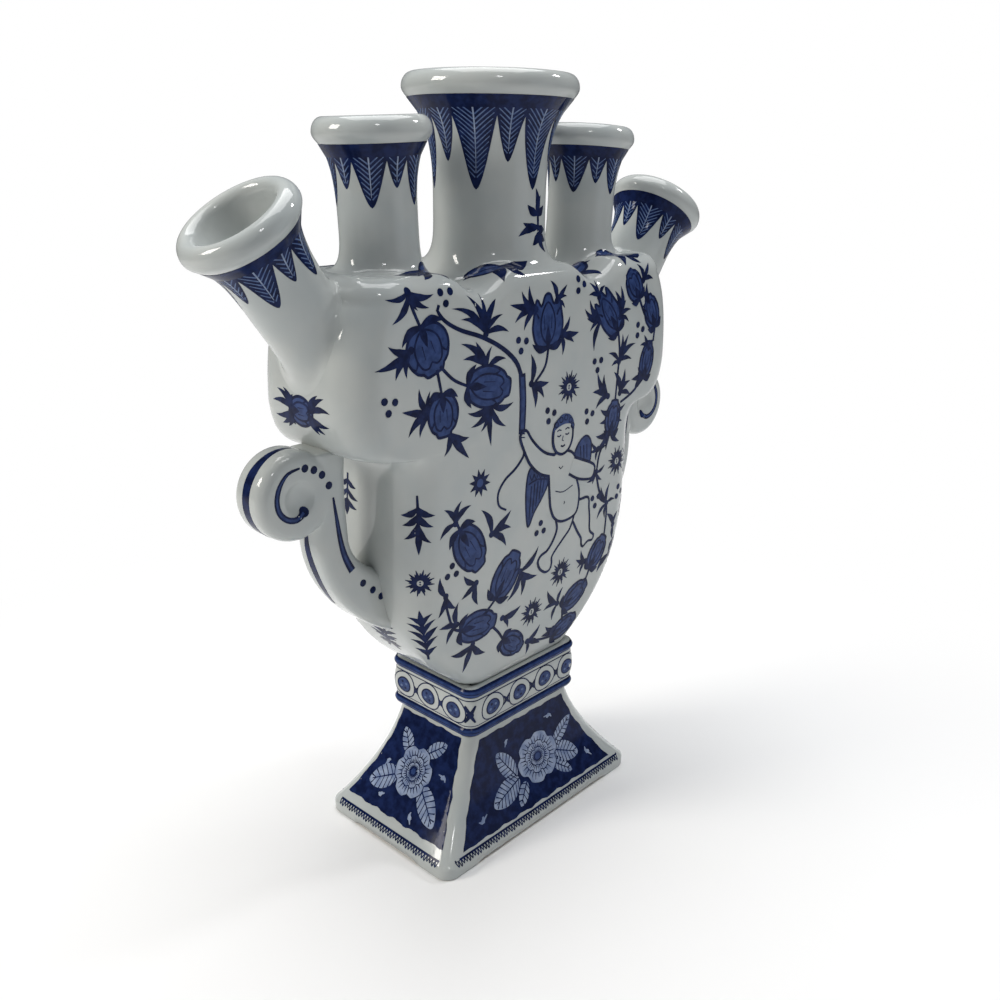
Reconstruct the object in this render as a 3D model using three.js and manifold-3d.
// A five-spouted tulip vase in glazed porcelain, in millimetres, +Z up.
// The potter makes eleven clay pieces and joins them with slip: the front and back halves of a hollow
// heart-shaped body, five flared spouts, two scroll handles, a moulded collar and a flared pedestal foot.
// The origin is on the table under the middle of the foot. +X runs along the row of spouts, and the
// front faces -Y.
import * as THREE from "three";
import { mergeVertices } from "three/addons/utils/BufferGeometryUtils.js";
import Module from "manifold-3d";

const wasm = await Module();
wasm.setup();

// Driving dimensions, all in millimetres unless a name says otherwise
const slipJoint = 0.3; // the thin joint that is left between two pieces
const wall = 5; // clay wall of the body, the collar and the foot

const footWidth = 99;
const footDepth = 61.5;
const footHeight = 40.3;
const footBandHeight = 5; // upright band round the bottom of the foot
const footBandEdge = 1; // chamfer along the top of that band
const footCornerRadius = 5;
const footTopMargin = 1.2; // how far the foot's top stays inside the collar's outline
const footFlareHollow = 2.6; // how far the flared sides fall inside a straight line
const footArchHeight = 1.2; // the scooped edge between the four corner feet
const footArchRamp = 4; // length of each sloping end of that edge
const cornerFootLength = 13;

const collarWidth = 55;
const collarDepth = 39;
const collarHeight = 17.1;
const collarCornerRadius = 6;
const collarBeadHeight = 3.2;
const collarBeadProud = 0.9;
const collarBarrel = 1; // how far the band between the beads swells

const bodyHeight = 137.3;
const bodySeatMargin = 2; // how far the body's base stays inside the collar's outline
const bellyHalfWidth = 55;
const bellyRise = 55; // height above the body's base where the belly is widest
const waistRise = 69.4; // where the straight flank ends and the cove under the lobe begins
const ledgeRise = 83.4; // the underside of the lobes
const ledgeHalfWidth = 65;
const lobeHalfWidth = 75.5;
const lobeRise = 100.4; // height above the body's base where the lobes are widest
const shoulderHalfWidth = 68.6;
const shoulderRadius = 6;
const saddleDepth = 5.5; // the dips in the shoulder beside the middle spout
const saddleHalfWidth = 14;
const bodyHalfDepth = 23.5;
const fullDepthRise = 73; // height above the body's base where the full depth is reached
const bodyCornerRadius = 12;
const faceCrown = 1; // swell of the front and back faces

const centreRimRadius = 27;
const centreNeckRadius = 17.6;
const centreBaseRadius = 21.4;
const centreLength = 54.7; // from the shoulder to the top of the lip

const innerInset = 30.7; // from the side of the lobe in to the spout's axis at the shoulder
const innerRimRadius = 16.6;
const innerNeckRadius = 11.3;
const innerBaseRadius = 12.6;
const innerLength = 41.4;
const innerTiltDegrees = 3.3;
const uprightRoot = 10; // how far the three upright spouts are let down into the shoulder

const outerInset = 1.1; // from the side of the lobe in to the spout's axis
const outerDrop = 10; // from the shoulder down to the start of the outer spout's length
const outerRimRadius = 17.4;
const outerNeckRadius = 11.6;
const outerBaseRadius = 11.9;
const outerLength = 33;
const outerTiltDegrees = 34.7;
const outerRoot = 26; // how far the outer spouts are let into the corner of the body

const spoutWall = 4.4;
const lipRoundness = 4; // half the height of the rolled lip
const lipInset = 3.2; // from the widest point of the lip in to its crown
const lipUndercut = 2.6; // how far the neck meets the lip inside its widest point
const lipInnerFall = 2.6; // from the lip's crown in to the edge of the mouth
const spoutFillet = 12; // height over which a spout's foot runs out into its neck

const handleThickness = 14;
const handleEdgeRadius = 4.6;
const stemWidth = 10.8;
const stemGap = 9.2; // from the flank of the body out to the inner side of the stem
const handleFootRise = 24; // bottom of the lower joint above the body's base
const handleFootLength = 21; // height of that joint on the flank
const scrollRadius = 13;
const scrollOverhang = 6.6; // how far the middle of the scroll stands outside the lobe
const scrollRise = 78.2; // the middle of the scroll above the body's base
const eyeRadius = 5.2;
const eyeDepth = 1.6;

// Facet counts
const cornerFacets = 4;
const faceFacets = 14; // across the body's front and back
const plainFacets = 2; // across each long side of the foot and the collar, and the stem
const cavityFacets = 6; // across the hollow inside the body
const spoutFacets = 24;
const scrollFacets = 24;
const outlinePoints = 4; // points on each curve of the body's outline
const lipPoints = 3; // points on each curve of a spout's outline
const stemPoints = 8; // points on each curve of the handle's stem
const beadPoints = 4;
const bandPoints = 5;
const flarePoints = 8;
const shoulderPoints = 3;

// Levels and places that follow from the sizes above
const collarBase = footHeight + slipJoint;
const bodyBase = collarBase + collarHeight + slipJoint;
const shoulderHeight = bodyBase + bodyHeight;
const bodyBaseHalfWidth = collarWidth / 2 - bodySeatMargin;
const bodyBaseHalfDepth = collarDepth / 2 - bodySeatMargin;
const innerOffset = lobeHalfWidth - innerInset;
const outerOffset = lobeHalfWidth - outerInset;
const saddleOffset = (centreBaseRadius + innerOffset - innerBaseRadius) / 2; // midway between two spouts
const scrollX = lobeHalfWidth + scrollOverhang;
const scrollZ = bodyBase + scrollRise;
const overcut = 1; // how far a cutting solid runs past the face that it cuts

const porcelain = new THREE.MeshStandardMaterial({ color: 0xdfe3e0, roughness: 0.12, metalness: 0 });

// A closed three.js geometry as a solid for cutting and joining
function solidOf(geometry) {
  const bare = geometry.clone();
  bare.deleteAttribute("normal");
  bare.deleteAttribute("uv");
  const merged = mergeVertices(bare, 1e-4);
  return new wasm.Manifold(
    new wasm.Mesh({
      numProp: 3,
      vertProperties: merged.attributes.position.array,
      triVerts: new Uint32Array(merged.index.array),
    }),
  );
}

// A cut solid as a three.js geometry again
function geometryOf(solid) {
  const mesh = solid.getMesh();
  const geometry = new THREE.BufferGeometry();
  geometry.setAttribute("position", new THREE.BufferAttribute(new Float32Array(mesh.vertProperties), 3));
  geometry.setIndex(new THREE.BufferAttribute(new Uint32Array(mesh.triVerts), 1));
  geometry.computeVertexNormals();
  return geometry;
}

function meshOf(name, geometry) {
  const mesh = new THREE.Mesh(geometry, porcelain.clone());
  mesh.name = name;
  return mesh;
}

// A rounded rectangle, anticlockwise from above, whose long sides are crowned and split into facets.
// It starts and ends on the +X side, so its points mirror each other in pairs from the two ends inwards.
function sectionPoints(halfWidth, halfDepth, radius, crown = 0, facets = plainFacets) {
  const r = Math.min(radius, halfWidth * 0.9, halfDepth * 0.9);
  const straight = halfWidth - r;
  const points = [];
  const corner = (x, y, quarter) => {
    for (let i = 0; i <= cornerFacets; i++) {
      const angle = ((quarter + i / cornerFacets) * Math.PI) / 2;
      points.push(new THREE.Vector2(x + r * Math.cos(angle), y + r * Math.sin(angle)));
    }
  };
  const longSide = (side) => {
    for (let i = 1; i < facets; i++) {
      const share = 1 - (2 * i) / facets;
      const swell = crown * (1 - share * share);
      points.push(new THREE.Vector2(side * share * straight, side * (halfDepth + swell)));
    }
  };
  corner(straight, halfDepth - r, 0);
  longSide(1);
  corner(-straight, halfDepth - r, 1);
  corner(-straight, r - halfDepth, 2);
  longSide(-1);
  corner(straight, r - halfDepth, 3);
  return points;
}

// A closed solid through rings of 3-D points that all have the same number of points.
// Both ends are closed by joining each point of the ring to its mirrored partner.
function closedRings(rings) {
  const count = rings[0].length;
  const positions = rings.flat().flatMap((p) => [p.x, p.y, p.z]);
  const index = [];
  for (let level = 0; level + 1 < rings.length; level++) {
    for (let i = 0; i < count; i++) {
      const a = level * count + i;
      const b = level * count + ((i + 1) % count);
      index.push(a, b, b + count, a, b + count, a + count);
    }
  }
  const top = (rings.length - 1) * count;
  for (let i = 0; i + 1 < count / 2; i++) {
    const mirrored = count - 1 - i;
    index.push(i, mirrored, mirrored - 1, i, mirrored - 1, i + 1);
    index.push(top + i, top + mirrored - 1, top + mirrored, top + i, top + i + 1, top + mirrored - 1);
  }
  const geometry = new THREE.BufferGeometry();
  geometry.setAttribute("position", new THREE.Float32BufferAttribute(positions, 3));
  geometry.setIndex(index);
  return geometry;
}

// A closed solid through a stack of level sections, from the bottom up
function loft(sections) {
  return closedRings(sections.map(({ points, z }) => points.map((p) => new THREE.Vector3(p.x, p.y, z))));
}

// The points of a path without the repeats where two of its curves meet
function pathPoints(path, divisions) {
  const found = [];
  for (const p of path.getPoints(divisions)) {
    if (!found.length || found[found.length - 1].distanceTo(p) > 0.02) found.push(p);
  }
  return found;
}

// The same path moved sideways, to the right of its direction of travel when distance is positive
function offsetPoints(points, distance) {
  return points.map((p, i) => {
    const before = points[Math.max(0, i - 1)];
    const after = points[Math.min(points.length - 1, i + 1)];
    const along = after.clone().sub(before).normalize();
    return new THREE.Vector2(p.x + along.y * distance, p.y - along.x * distance);
  });
}

// A turned solid from a closed profile of (radius, height) points
function turned(profile, facets) {
  return new THREE.LatheGeometry(profile, facets).rotateX(Math.PI / 2);
}

// A plain round plug about +Z
function plug(radius, bottom, top, facets) {
  const profile = [
    new THREE.Vector2(0, bottom),
    new THREE.Vector2(radius, bottom),
    new THREE.Vector2(radius, top),
    new THREE.Vector2(0, top),
  ];
  return turned(profile, facets);
}

// Foot: the outline of each level, from the table up to the collar
function footLevels() {
  const levels = [
    { inset: 0, z: 0 },
    { inset: 0, z: footBandHeight - footBandEdge },
  ];
  for (let i = 0; i <= flarePoints; i++) {
    const share = i / flarePoints;
    levels.push({ share, dip: 4 * footFlareHollow * share * (1 - share) });
  }
  const spreadX = footWidth / 2 - footBandEdge - (collarWidth / 2 - footTopMargin);
  const spreadY = footDepth / 2 - footBandEdge - (collarDepth / 2 - footTopMargin);
  return levels.map(({ share = 0, dip = 0, inset = footBandEdge, z }) => ({
    halfWidth: footWidth / 2 - inset - spreadX * share - dip,
    halfDepth: footDepth / 2 - inset - spreadY * share - dip,
    z: z ?? footBandHeight + (footHeight - footBandHeight) * share,
  }));
}

function footLoft(inset, bottom, top) {
  const levels = footLevels();
  const radius = Math.max(1, footCornerRadius - inset);
  return loft(
    levels.map(({ halfWidth, halfDepth, z }, i) => ({
      points: sectionPoints(halfWidth - inset, halfDepth - inset, radius),
      z: i === 0 ? bottom : i === levels.length - 1 ? top : z,
    })),
  );
}

// The shallow arch that is scooped out of one side's bottom edge, cut right through the foot
function footArch(sideLength, cutLength) {
  const half = sideLength / 2 - cornerFootLength;
  const arch = new THREE.Shape();
  arch.moveTo(-half, -overcut);
  arch.lineTo(half, -overcut);
  arch.lineTo(half, 0);
  arch.lineTo(half - footArchRamp, footArchHeight);
  arch.lineTo(-half + footArchRamp, footArchHeight);
  arch.lineTo(-half, 0);
  const cut = new THREE.ExtrudeGeometry(arch, { depth: cutLength, bevelEnabled: false });
  return cut.translate(0, 0, -cutLength / 2).rotateX(Math.PI / 2);
}

function pedestalFoot() {
  const outside = solidOf(footLoft(0, 0, footHeight));
  const inside = solidOf(footLoft(wall, -overcut, footHeight + overcut));
  const longArch = solidOf(footArch(footWidth, footDepth + 2 * overcut));
  const shortArch = solidOf(footArch(footDepth, footWidth + 2 * overcut).rotateZ(Math.PI / 2));
  return geometryOf(outside.subtract(inside).subtract(longArch).subtract(shortArch));
}

// Collar: how far each level stands proud, over a bead, a barrelled band and a second bead
function collarLevels() {
  const levels = [];
  const bandTop = collarHeight - collarBeadHeight;
  const swell = (proud, base, height, steps, from, to) => {
    for (let i = from; i <= to; i++) {
      const share = i / steps;
      levels.push({ proud: proud * Math.sin(Math.PI * share), z: collarBase + base + height * share });
    }
  };
  swell(collarBeadProud, 0, collarBeadHeight, beadPoints, 0, beadPoints);
  swell(collarBarrel, collarBeadHeight, bandTop - collarBeadHeight, bandPoints, 1, bandPoints - 1);
  swell(collarBeadProud, bandTop, collarBeadHeight, beadPoints, 0, beadPoints);
  return levels;
}

function collarSection(growth) {
  return sectionPoints(collarWidth / 2 + growth, collarDepth / 2 + growth, collarCornerRadius + growth);
}

function waistCollar() {
  const outside = loft(collarLevels().map(({ proud, z }) => ({ points: collarSection(proud), z })));
  const inside = loft([
    { points: collarSection(-wall), z: collarBase - overcut },
    { points: collarSection(-wall), z: collarBase + collarHeight + overcut },
  ]);
  return geometryOf(solidOf(outside).subtract(solidOf(inside)));
}

// Body: the right half of the front outline as (half width, height), from the base to the shoulder
function bodyOutline() {
  const outline = new THREE.Path();
  const z = (rise) => bodyBase + rise;
  const cove = ledgeRise - waistRise;
  const ledge = ledgeHalfWidth - bellyHalfWidth;
  const lobe = lobeHalfWidth - ledgeHalfWidth;
  const shoulderRise = bodyHeight - shoulderRadius;
  const lobeTop = shoulderRise - lobeRise;
  const bowl = bellyHalfWidth - bodyBaseHalfWidth;
  outline.moveTo(bodyBaseHalfWidth, z(0));
  outline.bezierCurveTo(
    bodyBaseHalfWidth + bowl * 0.5,
    z(bellyRise * 0.2),
    bellyHalfWidth,
    z(bellyRise * 0.42),
    bellyHalfWidth,
    z(bellyRise),
  );
  outline.lineTo(bellyHalfWidth, z(waistRise));
  outline.bezierCurveTo(
    bellyHalfWidth,
    z(waistRise + cove * 0.65),
    bellyHalfWidth + ledge * 0.3,
    z(ledgeRise - cove * 0.04),
    ledgeHalfWidth,
    z(ledgeRise),
  );
  outline.bezierCurveTo(
    ledgeHalfWidth + lobe * 0.6,
    z(ledgeRise + (lobeRise - ledgeRise) * 0.05),
    lobeHalfWidth - lobe * 0.08,
    z(ledgeRise + (lobeRise - ledgeRise) * 0.35),
    lobeHalfWidth,
    z(lobeRise),
  );
  outline.bezierCurveTo(
    lobeHalfWidth,
    z(lobeRise + lobeTop * 0.4),
    shoulderHalfWidth + (lobeHalfWidth - shoulderHalfWidth) * 0.8,
    z(lobeRise + lobeTop * 0.75),
    shoulderHalfWidth,
    z(shoulderRise),
  );
  return pathPoints(outline, outlinePoints);
}

// Half the depth of the body, the radius of its upright edges and the crown of its faces at a height
function depthAt(z) {
  const share = THREE.MathUtils.clamp((z - bodyBase) / fullDepthRise, 0, 1);
  const ease = 1 - (1 - share) * (1 - share);
  return {
    halfDepth: THREE.MathUtils.lerp(bodyBaseHalfDepth, bodyHalfDepth, ease),
    radius: THREE.MathUtils.lerp(collarCornerRadius, bodyCornerRadius, ease),
    crown: faceCrown * ease,
  };
}

// How far the shoulder dips at x: a smooth hollow on both sides of the middle spout
function saddle(x) {
  const share = Math.min(1, Math.abs(Math.abs(x) - saddleOffset) / saddleHalfWidth);
  return saddleDepth * (0.5 + 0.5 * Math.cos(Math.PI * share));
}

// The body's solid shape, grown outwards by a distance, or shrunk by a negative one
function bodyLoft(growth, bottom, facets = faceFacets) {
  const outline = offsetPoints(bodyOutline(), growth);
  const level = (halfWidth, depthHeight, inset, z) => {
    const { halfDepth, radius, crown } = depthAt(depthHeight);
    const corner = Math.max(1.5, radius + growth - inset);
    return { points: sectionPoints(halfWidth - inset, halfDepth + growth - inset, corner, crown, facets), z };
  };
  const sections = outline.map((p, i) => level(p.x, p.y, 0, i === 0 ? bottom : p.y));
  const last = outline[outline.length - 1];
  const round = Math.max(1, shoulderRadius + growth);
  for (let i = 1; i <= shoulderPoints; i++) {
    const angle = ((i / shoulderPoints) * Math.PI) / 2;
    const z = shoulderHeight + growth - round * (1 - Math.sin(angle));
    sections.push(level(last.x, last.y, round * (1 - Math.cos(angle)), z));
  }
  const geometry = loft(sections);
  const position = geometry.attributes.position;
  for (let i = 0; i < position.count; i++) {
    const z = position.getZ(i);
    const share = THREE.MathUtils.smoothstep(z, bodyBase + lobeRise, shoulderHeight);
    position.setZ(i, z - saddle(position.getX(i)) * share);
  }
  return geometry;
}

// Spouts: one list drives the spouts themselves and the holes under them.
const spouts = [
  {
    name: "centre_spout",
    x: 0,
    z: shoulderHeight,
    tilt: 0,
    rim: centreRimRadius,
    neck: centreNeckRadius,
    base: centreBaseRadius,
    length: centreLength,
    root: uprightRoot,
  },
];
for (const [side, word] of [
  [-1, "left"],
  [1, "right"],
]) {
  spouts.push({
    name: `inner_${word}_spout`,
    x: side * innerOffset,
    z: shoulderHeight,
    tilt: side * innerTiltDegrees,
    rim: innerRimRadius,
    neck: innerNeckRadius,
    base: innerBaseRadius,
    length: innerLength,
    root: uprightRoot,
  });
  spouts.push({
    name: `outer_${word}_spout`,
    x: side * outerOffset,
    z: shoulderHeight - outerDrop,
    tilt: side * outerTiltDegrees,
    rim: outerRimRadius,
    neck: outerNeckRadius,
    base: outerBaseRadius,
    length: outerLength,
    root: outerRoot,
  });
}

// Puts a geometry that is built about +Z onto a spout's place on the shoulder
function onShoulder(geometry, spout) {
  return geometry.rotateY(THREE.MathUtils.degToRad(spout.tilt)).translate(spout.x, 0, spout.z);
}

function boreRadius(spout) {
  return spout.neck - spoutWall;
}

// The closed wall profile of a spout: up the outside from its root, over the rolled lip and down the bore
function spoutProfile({ rim, neck, base, length, root }) {
  const bore = neck - spoutWall;
  const spread = rim - neck;
  const flare = Math.min(length * 0.5, spread * 3.2);
  const underLip = length - 2 * lipRoundness;
  const crown = rim - lipInset;
  const mouth = crown - lipInnerFall;
  const fillet = Math.min(length * 0.3, spoutFillet, underLip - flare);
  const profile = new THREE.Path();
  profile.moveTo(base, -root);
  profile.lineTo(base, 0);
  profile.quadraticCurveTo(neck, fillet * 0.3, neck, fillet);
  profile.lineTo(neck, underLip - flare);
  profile.bezierCurveTo(
    neck,
    underLip - flare * 0.45,
    neck + spread * 0.22,
    underLip - flare * 0.2,
    rim - lipUndercut,
    underLip,
  );
  profile.bezierCurveTo(
    rim - lipUndercut * 0.35,
    underLip + lipRoundness * 0.45,
    rim,
    underLip + lipRoundness * 0.7,
    rim,
    underLip + lipRoundness,
  );
  profile.bezierCurveTo(rim, length - lipRoundness * 0.45, rim - lipInset * 0.45, length, crown, length);
  profile.bezierCurveTo(
    crown - lipInnerFall * 0.45,
    length,
    mouth + lipInnerFall * 0.15,
    length - lipRoundness * 0.2,
    mouth,
    length - lipRoundness * 0.6,
  );
  profile.bezierCurveTo(
    mouth - lipInnerFall * 0.25,
    length - lipRoundness * 1.6,
    bore,
    underLip - flare * 0.2,
    bore,
    underLip - flare * 0.75,
  );
  profile.lineTo(bore, -root);
  profile.lineTo(base, -root);
  const points = pathPoints(profile, lipPoints);
  points.push(points[0].clone());
  return points;
}

// A spout, trimmed at its root to sit on the curved shoulder
function flaredSpout(spout, clearance) {
  const tube = onShoulder(turned(spoutProfile(spout), spoutFacets), spout);
  return geometryOf(solidOf(tube).subtract(clearance));
}

// The whole body, hollowed, and bored through to each spout
function bodyShell() {
  const cavity = bodyLoft(-wall, bodyBase + wall, cavityFacets);
  let shell = solidOf(bodyLoft(0, bodyBase)).subtract(solidOf(cavity));
  for (const spout of spouts) {
    const bore = plug(boreRadius(spout), -spout.root - 2 * wall, spout.root, spoutFacets);
    shell = shell.subtract(solidOf(onShoulder(bore, spout)));
  }
  return shell;
}

// The front half of the body, on side -1, or the back half: the slip joint runs round between them.
function bodyHalf(shell, side) {
  const reach = bodyHalfDepth + faceCrown + overcut;
  const height = bodyHeight + 2 * overcut;
  const otherSide = new THREE.BoxGeometry(2 * (lobeHalfWidth + overcut), reach, height);
  otherSide.translate(0, side * (slipJoint / 2 - reach / 2), bodyBase - overcut + height / 2);
  return geometryOf(shell.subtract(solidOf(otherSide)));
}

// Handle, drawn for the right-hand side in the plane of the spouts.
// One side of its S-shaped stem as (x, z), from the flank of the body up to the underside of the lobe
function stemSide(root, middle, top, bow) {
  const rise = middle.z - root.z;
  const side = new THREE.Path();
  side.moveTo(root.x, root.z);
  side.bezierCurveTo(root.x + 9, root.z + 2.5, middle.x - 1.6, middle.z - rise * 0.55, middle.x, middle.z);
  side.bezierCurveTo(middle.x + 1, middle.z + 12, top.x + bow, top.z - 7, top.x, top.z);
  return pathPoints(side, stemPoints);
}

// A strap between its two sides, with rounded edges: each section spans from the inner side to the outer
function strapBetween(inner, outer) {
  const rings = inner.map((p, i) => {
    const across = outer[i].clone().sub(p);
    const middle = p.clone().add(outer[i]).multiplyScalar(0.5);
    const section = sectionPoints(across.length() / 2, handleThickness / 2, handleEdgeRadius);
    across.normalize();
    return section.map((q) => new THREE.Vector3(middle.x + across.x * q.x, q.y, middle.y + across.y * q.x));
  });
  return closedRings(rings);
}

function stem() {
  const stemIn = bellyHalfWidth + stemGap;
  const stemOut = stemIn + stemWidth;
  const buried = bellyHalfWidth - 2 * wall;
  const footBottom = bodyBase + handleFootRise;
  const waist = scrollZ - scrollRadius - 5;
  const inner = stemSide(
    { x: buried, z: footBottom + handleFootLength },
    { x: stemIn, z: waist },
    { x: stemIn, z: bodyBase + ledgeRise + wall / 2 },
    1.5,
  );
  const outer = stemSide(
    { x: buried, z: footBottom },
    { x: stemOut, z: waist },
    { x: scrollX - scrollRadius * 0.25, z: scrollZ + scrollRadius * 0.8 },
    -4,
  );
  return strapBetween(inner, outer);
}

// The rolled-up end of the strap: a thick round disc with soft rims and a dished eye on each face
function scrollDisc() {
  const half = handleThickness / 2;
  const edge = handleEdgeRadius;
  const profile = new THREE.Path();
  profile.moveTo(0, eyeDepth - half);
  profile.quadraticCurveTo(eyeRadius * 0.7, eyeDepth - half, eyeRadius, -half);
  profile.lineTo(scrollRadius - edge, -half);
  profile.absarc(scrollRadius - edge, edge - half, edge, -Math.PI / 2, 0, false);
  profile.absarc(scrollRadius - edge, half - edge, edge, 0, Math.PI / 2, false);
  profile.lineTo(eyeRadius, half);
  profile.quadraticCurveTo(eyeRadius * 0.7, half - eyeDepth, 0, half - eyeDepth);
  return new THREE.LatheGeometry(pathPoints(profile, lipPoints), scrollFacets).translate(scrollX, 0, scrollZ);
}

// The whole scroll handle, trimmed where it meets the body
function scrollHandle(clearance) {
  return solidOf(stem()).add(solidOf(scrollDisc())).subtract(clearance);
}

// The room that the body takes up with the slip joint round it: what is joined to it is trimmed by this.
const clearance = solidOf(bodyLoft(slipJoint, bodyBase - slipJoint));

const vase = new THREE.Group();
vase.name = "tulip_vase";
vase.add(meshOf("pedestal_foot", pedestalFoot()));
vase.add(meshOf("waist_collar", waistCollar()));
const shell = bodyShell();
vase.add(meshOf("body_front_half", bodyHalf(shell, -1)));
vase.add(meshOf("body_back_half", bodyHalf(shell, 1)));
for (const spout of spouts) vase.add(meshOf(spout.name, flaredSpout(spout, clearance)));
const rightHandle = scrollHandle(clearance);
vase.add(meshOf("right_scroll_handle", geometryOf(rightHandle)));
vase.add(meshOf("left_scroll_handle", geometryOf(rightHandle.mirror([1, 0, 0]))));

export default vase;
